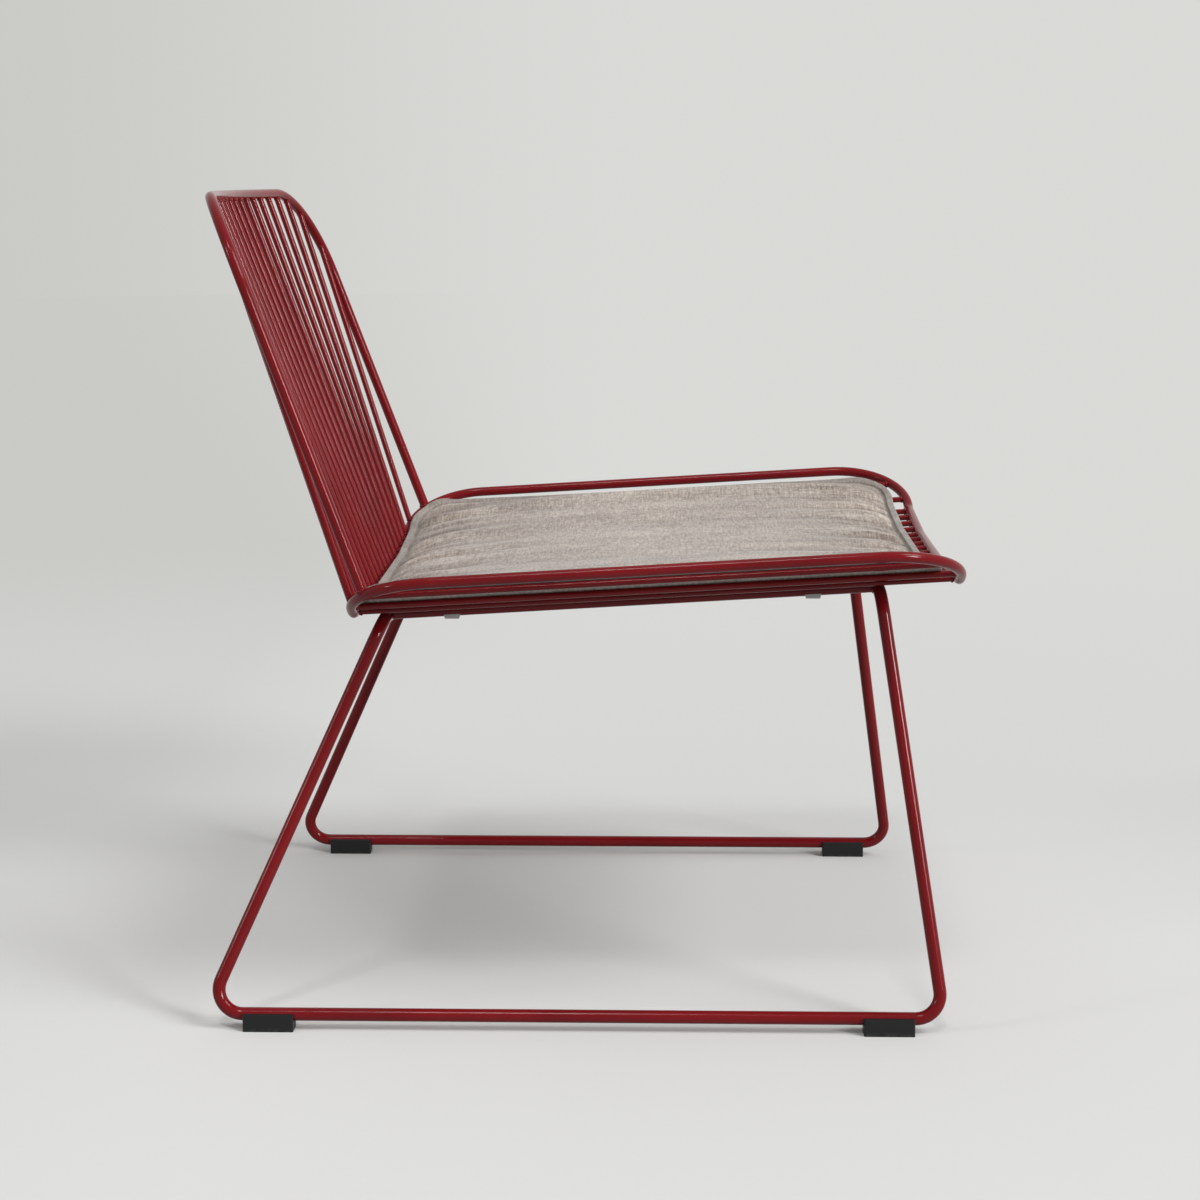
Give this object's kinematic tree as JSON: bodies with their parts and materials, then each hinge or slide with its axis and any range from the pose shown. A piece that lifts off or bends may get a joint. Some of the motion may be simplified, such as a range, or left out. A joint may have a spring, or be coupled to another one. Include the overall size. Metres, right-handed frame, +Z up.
{
  "type": "lounge chair",
  "caption": "Low armless lounge chair of bent steel rod and straight wire on a sled base, with a thin loose pad lying in its dished seat.",
  "frame": {"origin": "on the floor, under the middle of the chair's outline", "axes": "+Z up, -Y the way the sitter faces, +X towards the sitter's left"},
  "size_m": [0.648, 0.703, 0.751],
  "materials": {
    "frame": "semi-gloss powder coat",
    "pad": "melange weave",
    "glide": "moulded matte",
    "bumper": "milky moulded"
  },
  "bodies": {
    "frame": {"seat_rim": "frame", "back_hoop": "frame", "base_left": "frame", "base_right": "frame", "stretcher_left": "frame", "stretcher_right": "frame", "seat_wire_01": "frame", "seat_wire_02": "frame", "seat_wire_03": "frame", "seat_wire_04": "frame", "seat_wire_05": "frame", "seat_wire_06": "frame", "seat_wire_07": "frame", "seat_wire_08": "frame", "seat_wire_09": "frame", "seat_wire_10": "frame", "seat_wire_11": "frame", "seat_wire_12": "frame", "seat_wire_13": "frame", "seat_wire_14": "frame", "seat_wire_15": "frame", "seat_wire_16": "frame", "seat_wire_17": "frame", "seat_wire_18": "frame", "seat_wire_19": "frame", "seat_wire_20": "frame", "back_wire_01": "frame", "back_wire_02": "frame", "back_wire_03": "frame", "back_wire_04": "frame", "back_wire_05": "frame", "back_wire_06": "frame", "back_wire_07": "frame", "back_wire_08": "frame", "back_wire_09": "frame", "back_wire_10": "frame", "back_wire_11": "frame", "back_wire_12": "frame", "back_wire_13": "frame", "back_wire_14": "frame", "back_wire_15": "frame", "back_wire_16": "frame", "back_wire_17": "frame", "back_wire_18": "frame", "back_wire_19": "frame", "back_wire_20": "frame", "glide_front_left": "glide", "glide_front_right": "glide", "glide_rear_left": "glide", "glide_rear_right": "glide", "bumper_front_left": "bumper", "bumper_front_right": "bumper", "bumper_rear_left": "bumper", "bumper_rear_right": "bumper"},
    "pad": {"seat_pad": "pad"}
  },
  "joints": [
    {"name": "seat_pad_lift", "type": "slide", "parent": "frame", "child": "pad", "axis": [0, 0, 1], "range_m": [0, 0.3]}
  ]
}
